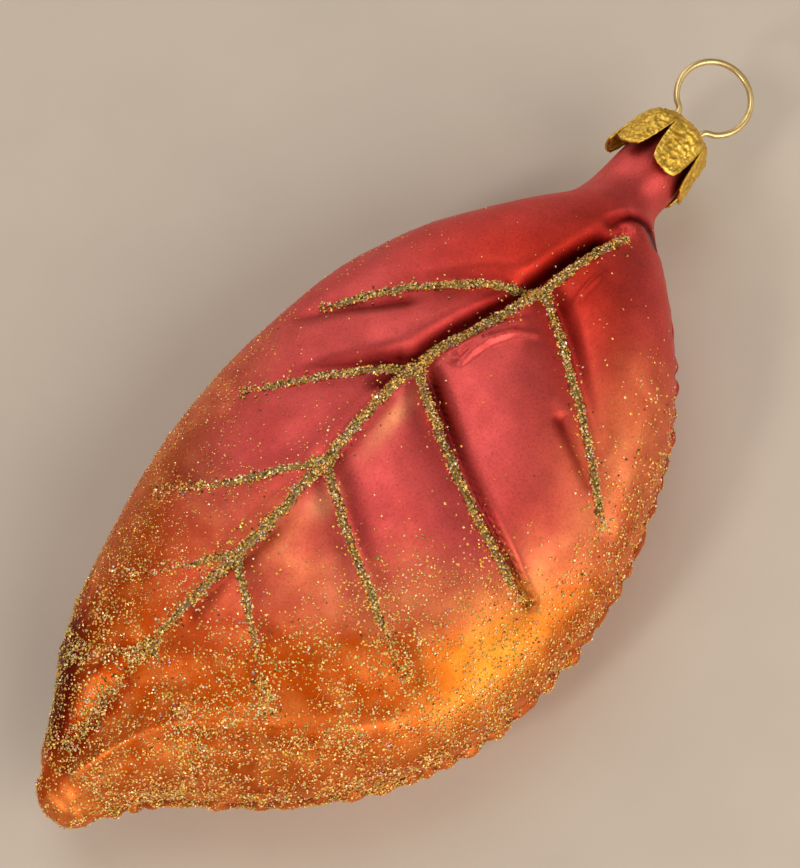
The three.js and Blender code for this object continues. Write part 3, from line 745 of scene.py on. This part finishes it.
def hanger():
    cx = CAP_TOP_X + 6.05
    half = [[42.8, 2.5], [45.5, 2.45], [49, 2.3], [52.3, 2.1], [55, LEG], [56.3, LEG]]
    pts = [[x, y] for x, y in half]
    start = 27
    for i in range(19):
        a = math.radians(180 - start - (360 - 2 * start) * i / 18)
        pts.append([cx + RING_R * math.cos(a), RING_R * math.sin(a)])
    pts += [[x, -y] for x, y in reversed(half)]
    line = even(smooth_line(pts, 900), 0.16)
    z = 0.05 * np.sin(np.linspace(0, 9, len(line)))
    p = np.stack([line[:, 0], line[:, 1], z], -1)
    c, s = math.cos(RING_TILT), math.sin(RING_TILT)
    p = np.stack([p[:, 0], AXIS_Y + p[:, 1] * c - p[:, 2] * s, p[:, 1] * s + p[:, 2] * c], -1)
    w = 1 + 0.012 * np.sin(np.linspace(0, 40, len(p)))
    return sweep(p, WIRE_R, 20, "wire", wobble=w)


v, f = hanger()
wire = mesh_object("wire_hanger_round", place(v), f)
bm = bmesh.new()
bm.from_mesh(wire.data)
bmesh.ops.recalc_face_normals(bm, faces=bm.faces)
bm.to_mesh(wire.data)
bm.free()
wire.data.polygons.foreach_set("use_smooth", np.ones(len(wire.data.polygons), bool))
wire.data.materials.append(wire_mat)
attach(wire, "root")
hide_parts("wire_hanger")

# ------------------------------------------------------------------ glitter
# one plain metal per foil colour: the grains themselves carry the variation
FOILS = [
    ("foil_gold", (0.96, 0.60, 0.11), 0.34), ("foil_pale_gold", (1.0, 0.76, 0.32), 0.34), ("foil_old_gold", (0.56, 0.36, 0.08), 0.38),
    ("foil_green_gold", (0.50, 0.52, 0.14), 0.34), ("foil_copper", (0.92, 0.46, 0.26), 0.36), ("foil_white", (1.0, 0.94, 0.80), 0.32),
    ("foil_bronze", (0.16, 0.08, 0.02), 0.45), ("foil_violet", (0.50, 0.34, 0.50), 0.36)]
foil_mats = []
for nm, c, r in FOILS:
    m, nt, sh = new_material(nm)
    sh.inputs["Base Color"].default_value = (*c, 1)
    sh.inputs["Roughness"].default_value = r
    sh.inputs["Metallic"].default_value = 0.55
    foil_mats.append(m)
glue_mat, nt, sh = new_material("glitter_glue")
sh.inputs["Base Color"].default_value = (0.26, 0.155, 0.042, 1)
sh.inputs["Roughness"].default_value = 0.5
sh.inputs["Metallic"].default_value = 0.3
sh.inputs["Coat Weight"].default_value = 0.3


class Ground:
    """Looks up the blown surface's front: nearest grid point, position and normal."""

    def __init__(self):
        self.N = grid_normals(OUT)
        self.P = OUT.reshape(-1, 3)
        self.n = self.N.reshape(-1, 3)
        top = (np.sin(TH) > 0.02).ravel()
        self.top = np.nonzero(top)[0]
        cell = 1.0
        self.cell = cell
        self.table = {}
        q = np.floor(self.P[self.top, :2] / cell).astype(int)
        for idx, (a, b) in zip(self.top, map(tuple, q)):
            self.table.setdefault((a, b), []).append(idx)

    def at(self, x, y):
        a, b = int(math.floor(x)), int(math.floor(y))
        near = []
        for i in (-1, 0, 1):
            for j in (-1, 0, 1):
                near += self.table.get((a + i, b + j), [])
        near = np.array(near)
        d = np.hypot(self.P[near, 0] - x, self.P[near, 1] - y)
        k = np.argsort(d)[:4]
        w = 1 / (d[k] + 0.02)
        w /= w.sum()
        p = (self.P[near[k]] * w[:, None]).sum(0)
        n = (self.n[near[k]] * w[:, None]).sum(0)
        n /= np.linalg.norm(n)
        z = p[2] - ((x - p[0]) * n[0] + (y - p[1]) * n[1]) / max(n[2], 0.2)
        return np.array([x, y, z]), n


ground = Ground()


def grains(centres, normals, sizes, tilt, rng, weights, lift=0.0, flat=0.36):
    """Tiny flat foil grains: each a squashed four-sided bipyramid lying roughly along the surface."""
    n = len(centres)
    nn = normals + tilt * rng.normal(size=(n, 3))
    nn /= np.linalg.norm(nn, axis=1)[:, None]
    r = rng.normal(size=(n, 3))
    u = np.cross(nn, r)
    u /= np.linalg.norm(u, axis=1)[:, None]
    w = np.cross(nn, u)
    s = sizes[:, None] * 0.5
    asp = rng.uniform(0.75, 1.0, (n, 1))
    c = centres + normals * (lift + 0.3 * sizes)[:, None]
    V = np.stack([c + u * s, c + w * s * asp, c - u * s * rng.uniform(0.8, 1.0, (n, 1)), c - w * s * asp, c + nn * s * flat, c - nn * s * flat], 1)
    base = np.arange(n)[:, None] * 6
    F = np.stack([base + np.array([a, b, t]) for a, b, t in ((0, 1, 4), (1, 2, 4), (2, 3, 4), (3, 0, 4), (1, 0, 5), (2, 1, 5), (3, 2, 5), (0, 3, 5))], 1)
    mats = rng.choice(len(FOILS), size=n, p=np.array(weights) / np.sum(weights))
    return V.reshape(-1, 3), F.reshape(-1, 3), np.repeat(mats, 8)


def grain_object(name, V, F, mats, first=0, extra=None):
    """extra: (verts, faces) of a glue bead that comes first, with the glue material."""
    if extra is not None:
        ev, ef = extra
        F = [list(f) for f in ef] + [list(f + len(ev)) for f in F]
        V = np.vstack([ev, V])
        mats = np.r_[np.full(len(ef), len(FOILS)), mats]
    o = mesh_object(name, place(V), F, smooth=False)
    for m in foil_mats:
        o.data.materials.append(m)
    if extra is not None:
        o.data.materials.append(glue_mat)
    o.data.polygons.foreach_set("material_index", mats.astype(np.int32))
    if extra is not None:
        sm = np.zeros(len(mats), bool)
        sm[:len(ef)] = True
        o.data.polygons.foreach_set("use_smooth", sm)
    o.data.update()
    return o


LINE_WEIGHTS = [0.27, 0.20, 0.16, 0.13, 0.06, 0.05, 0.11, 0.02]
DUST_WEIGHTS = [0.44, 0.22, 0.11, 0.09, 0.09, 0.025, 0.02, 0.005]


def glitter_line(name, node_name, line, width0, width1, start_blob, seed, thin_from=1.1, loose=0.8):
    """A bumpy bead of glue in the groove, thick with foil grains; it breaks up past thin_from (share of its length)."""
    rng = np.random.default_rng(seed)
    path = even(smooth_line(line, 400), 0.22)
    n = len(path)
    t = np.linspace(0, 1, n)
    T = np.gradient(path, axis=0)
    T /= np.linalg.norm(T, axis=1)[:, None]
    side = np.stack([-T[:, 1], T[:, 0]], -1)
    wob = fbm(np.stack([t * n * 0.22 / 1.3, 0 * t, 0 * t + seed], -1), 2, seed)
    wob2 = fbm(np.stack([t * n * 0.22 / 2.1, 0 * t + 5, 0 * t + seed], -1), 2, seed + 1)
    path = path + side * (0.16 * wob2)[:, None]
    width = width0 + (width1 - width0) * t
    width = width * (1 + 0.20 * wob)
    width = width + start_blob * np.exp(-(t * n * 0.22 / 1.1) ** 2)
    gone = sstep(thin_from, 1.0, t) if thin_from < 1 else 0 * t
    full = width.copy()
    width = width * (1 - 0.88 * gone)
    sec = np.array([[-0.5, -0.16], [-0.46, 0.10], [-0.33, 0.36], [-0.12, 0.52], [0.12, 0.52], [0.33, 0.36], [0.46, 0.10], [0.5, -0.16]])
    rings, top_pts, top_nrm = [], [], []
    for k in range(n):
        row = []
        c0, n0 = ground.at(*path[k])
        for a, h in sec:
            q = path[k] + side[k] * a * width[k]
            p, nr = ground.at(*q)
            hh = 0.44 * width[k] * h - 0.40 * gone[k]
            row.append(p + n0 * hh)
        rings.append(row)
    R = np.array(rings)
    bumpy = 0.05 * vnoise(R.reshape(-1, 3) / 0.35, seed).reshape(R.shape[:2])
    R[:, 1:-1] += np.array([0, 0, 1.0]) * bumpy[:, 1:-1, None]
    m = len(sec)
    bv = R.reshape(-1, 3)
    bf = [list(x) for x in ring_faces(n, m, 0, False)]
    bf.append([j for j in range(m)][::-1])
    bf.append([(n - 1) * m + j for j in range(m)])
    # grains over the bead, spread by its true area
    length = n * 0.22
    A4, B4, C4, D4 = R[:-1, :-1], R[:-1, 1:], R[1:, 1:], R[1:, :-1]
    cr = np.cross(C4 - A4, D4 - B4)
    qa = 0.5 * np.linalg.norm(cr, axis=-1)
    qn = cr / np.maximum(2 * qa[..., None], 1e-9)
    qn = qn * np.sign((qn * np.array([0, 0, 1.0])).sum(-1).mean())
    patch = fbm(np.stack([t * length / 1.6, 0 * t, 0 * t + seed + 9], -1), 2, seed + 4)
    share = (1 - gone)[:-1, None]
    k = rng.poisson(qa * share * (19.0))
    i, j = np.nonzero(k)
    i, j = np.repeat(i, k[i, j]), np.repeat(j, k[i, j])
    f1, f2 = rng.uniform(0, 1, (len(i), 1)), rng.uniform(0, 1, (len(i), 1))
    C = (A4[i, j] * (1 - f2) + B4[i, j] * f2) * (1 - f1) + (D4[i, j] * (1 - f2) + C4[i, j] * f2) * f1
    nrm = qn[i, j]
    count = len(i)
    sizes = rng.uniform(0.24, 0.50, count)
    C = C + nrm * rng.uniform(-0.12, 0.12, (count, 1))
    V, F, M = grains(C, nrm, sizes, 0.9, rng, LINE_WEIGHTS, lift=0.0, flat=0.62)
    # where the glue gives out the grains lie loose in a wider band
    want = full * gone * np.clip(1 + 0.9 * patch, 0.2, 2.2) * 34.0
    nl = rng.poisson(want * length / n)
    tt_loose = np.repeat(t, nl)
    # strays beside the line
    ts = rng.uniform(0, 1, int(length * 3.0))
    ns = len(ts) + len(tt_loose)
    off = np.r_[rng.normal(0, 1.0, len(ts)) * np.interp(ts, t, full) * 0.9, rng.normal(0, loose, len(tt_loose))]
    ts = np.r_[ts, tt_loose]
    cs, nr = [], []
    for q, o in zip(ts, off):
        k = int(q * (n - 1))
        p2 = path[k] + side[k] * o
        p, nn = ground.at(*p2)
        cs.append(p)
        nr.append(nn)
    V2, F2, M2 = grains(np.array(cs), np.array(nr), rng.uniform(0.24, 0.46, ns), 0.6, rng, LINE_WEIGHTS, flat=0.5)
    V, F, M = np.vstack([V, V2]), np.vstack([F, F2 + len(V)]), np.r_[M, M2]
    o = grain_object(name, V, F, M, extra=(bv, bf))
    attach(o, "root")
    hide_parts(node_name)
    return o


glitter_line("glitter_line_midrib", "glitter_midrib", MIDRIB, 1.32, 1.10, 0.0, 11, thin_from=0.68, loose=0.8)
LEFT_W = [(0.98, 0.75), (0.95, 0.7), (0.9, 0.75), (0.9, 0.8), (0.9, 0.8)]
RIGHT_W = [(1.0, 0.85), (1.05, 0.9), (0.95, 0.9), (0.9, 0.85), (0.85, 0.8)]
for i, v in enumerate(LEFT):
    glitter_line(f"glitter_line_left_{i + 1}", f"glitter_vein_left_{i + 1}", v, *LEFT_W[i], 0.8, 30 + i,
                 thin_from=(0.9, 0.8, 0.5, 0.0, -0.3)[i], loose=(0.4, 0.45, 0.6, 0.75, 0.9)[i])
for i, v in enumerate(RIGHT):
    glitter_line(f"glitter_line_right_{i + 1}", f"glitter_vein_right_{i + 1}", v, *RIGHT_W[i], 0.9, 50 + i,
                 thin_from=(0.92, 0.92, 0.7, 0.3, -0.3)[i], loose=(0.45, 0.6, 0.65, 0.7, 0.9)[i])


# ---- loose glitter dusting: dense on the lower third and margins, sparse in the middle
def dusting(name, front, seed, per_mm2):
    rng = np.random.default_rng(seed)
    P, N = OUT, ground.N
    A, B, C, D = P[:-1], np.roll(P, -1, 1)[:-1], np.roll(P, -1, 1)[1:], P[1:]
    area = 0.5 * np.linalg.norm(np.cross(C - A, D - B), axis=-1)
    mid = (A + B + C + D) / 4
    s = np.sin(TH[:-1])
    use = (s > 0.0) if front else (s <= 0.0)
    x, y, z = mid[..., 0], mid[..., 1], mid[..., 2]
    de = outline_distance(x, y)
    q = mid.reshape(-1, 3)
    clump = fbm(q / 3.2, 2, seed + 3).reshape(x.shape)
    big = fbm(q / 12.0, 2, seed + 5).reshape(x.shape)
    left = (y > 1.5)
    margin = gauss(np.maximum(de - 1.5, 0), 4.5) * (1 - sstep(14, 30, x))
    lower = sstep(2, -24, x + 4 * big) * np.where(left, 0.42, sstep(-5, -19, y + 0.25 * (x + 20)))
    tipd = 0.75 * sstep(-24, -44, x + 4 * big)
    dens = 0.010 + 0.85 * margin * np.where(left, 0.6 - 0.42 * sstep(-22, 4, x), 1.0) + 1.0 * lower + tipd
    dens = dens * (1 - sstep(26, 40, x)) + 0.006
    if not front:
        dens = (0.02 + 0.8 * margin + 0.45 * sstep(-2, -34, x + 4 * big)) * (1 - sstep(24, 38, x))
    dens = dens * np.clip(0.75 + 1.1 * clump, 0.05, 2.0)
    lam = area * dens * per_mm2 * use
    k = rng.poisson(lam)
    i, j = np.nonzero(k)
    reps = k[i, j]
    i, j = np.repeat(i, reps), np.repeat(j, reps)
    f1, f2 = rng.uniform(0, 1, (len(i), 1)), rng.uniform(0, 1, (len(i), 1))
    j2 = (j + 1) % NT
    pos = (P[i, j] * (1 - f2) + P[i, j2] * f2) * (1 - f1) + (P[i + 1, j] * (1 - f2) + P[i + 1, j2] * f2) * f1
    nr = N[i, j]
    sizes = np.clip(rng.normal(0.30, 0.08, len(i)), 0.15, 0.50)
    sizes = sizes * np.where((pos[:, 1] > 4) & (pos[:, 0] > -40), 0.72, 1.0)
    # none where the leaf rests
    keep = pos[:, 2] > P[..., 2].min() + 0.35
    pos, nr, sizes = pos[keep], nr[keep], sizes[keep]
    i = i[keep]
    cap_n = 23000
    if len(i) > cap_n:
        pick = rng.permutation(len(i))[:cap_n]
        pos, nr, sizes = pos[pick], nr[pick], sizes[pick]
    V, F, M = grains(pos, nr, sizes, 0.5, rng, DUST_WEIGHTS, flat=0.45)
    print(name, "grains", len(pos), "triangles", len(F))
    o = grain_object(name, V, F, M)
    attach(o, "root")
    return o


dusting("glitter_dust_front", True, 101, 6.4)
dusting("glitter_dust_back", False, 202, 3.8)

# ------------------------------------------------------------------ floor, lights, camera
floor = mesh_object("floor", [(-1.6, -1.6, 0), (1.6, -1.6, 0), (1.6, 1.6, 0), (-1.6, 1.6, 0)], [[0, 1, 2, 3]], smooth=False)
fm, nt, sh = new_material("pale_table")
tc = node(nt, "ShaderNodeTexCoord")
fn = node(nt, "ShaderNodeTexNoise", Scale=55.0, Detail=4.0, Roughness=0.55)
nt.links.new(tc.outputs["Object"], fn.inputs["Vector"])
fr = ramp(nt, fn.outputs["Fac"], [(0.3, (0.585, 0.530, 0.465, 1)), (0.7, (0.615, 0.56, 0.49, 1))])
nt.links.new(fr.outputs[0], sh.inputs["Base Color"])
sh.inputs["Roughness"].default_value = 0.75
sh.inputs["Specular IOR Level"].default_value = 0.25
floor.data.materials.append(fm)

EL, PHI = math.radians(70.0), math.radians(48.0)
DIST, MM_PER_PX = 0.330, 0.125
right = np.array([math.cos(PHI), -math.sin(PHI), 0.0])
fwd = np.array([math.sin(PHI), math.cos(PHI), 0.0])
up_z = np.array([0.0, 0.0, 1.0])
back = -math.cos(EL) * fwd + math.sin(EL) * up_z
target = place([0.0, 0.0, 0.0])
cam_up = np.cross(back, right)
cd = bpy.data.cameras.new("camera")
cd.sensor_fit = "HORIZONTAL"
cd.sensor_width = 36.0
cd.lens = 36.0 * (DIST * 1000 / MM_PER_PX) / 800.0
cd.clip_start, cd.clip_end = 0.01, 20
cam = bpy.data.objects.new("camera", cd)
bpy.context.scene.collection.objects.link(cam)
loc = target + DIST * back
M = Matrix(((right[0], cam_up[0], back[0], loc[0]), (right[1], cam_up[1], back[1], loc[1]), (right[2], cam_up[2], back[2], loc[2]), (0, 0, 0, 1)))
cam.matrix_world = M
bpy.context.scene.camera = cam


def area(name, direction, dist, size, power, color):
    d = np.asarray(direction, float)
    d /= np.linalg.norm(d)
    ld = bpy.data.lights.new(name, "AREA")
    ld.shape = "DISK"
    ld.size = size
    ld.energy = power
    ld.color = color
    o = bpy.data.objects.new(name, ld)
    bpy.context.scene.collection.objects.link(o)
    p = Vector(target + d * dist)
    o.location = p
    o.rotation_euler = (p - Vector(target)).to_track_quat("Z", "Y").to_euler()
    return o


area("key", -0.58 * right - 0.52 * fwd + 0.62 * up_z, 0.90, 0.15, 1.95, (1.0, 0.93, 0.84))
area("window", 0.66 * right - 0.74 * fwd + 0.70 * up_z, 0.80, 0.75, 3.7, (1.0, 0.92, 0.81))
area("side", 0.88 * right + 0.02 * fwd + 0.50 * up_z, 0.90, 0.70, 0.95, (1.0, 0.92, 0.83))
area("far", -0.35 * right + 0.85 * fwd + 0.48 * up_z, 0.90, 0.70, 1.3, (1.0, 0.94, 0.88))
area("ceiling", -0.15 * right + 0.35 * fwd + up_z, 1.2, 0.8, 2.9, (1.0, 0.95, 0.90))

w = bpy.data.worlds.new("room")
bpy.context.scene.world = w
w.use_nodes = True
bg = w.node_tree.nodes["Background"]
bg.inputs[0].default_value = (0.60, 0.50, 0.42, 1)
bg.inputs[1].default_value = 0.38
bpy.context.scene.view_settings.view_transform = "Standard"
bpy.context.scene.view_settings.look = "None"
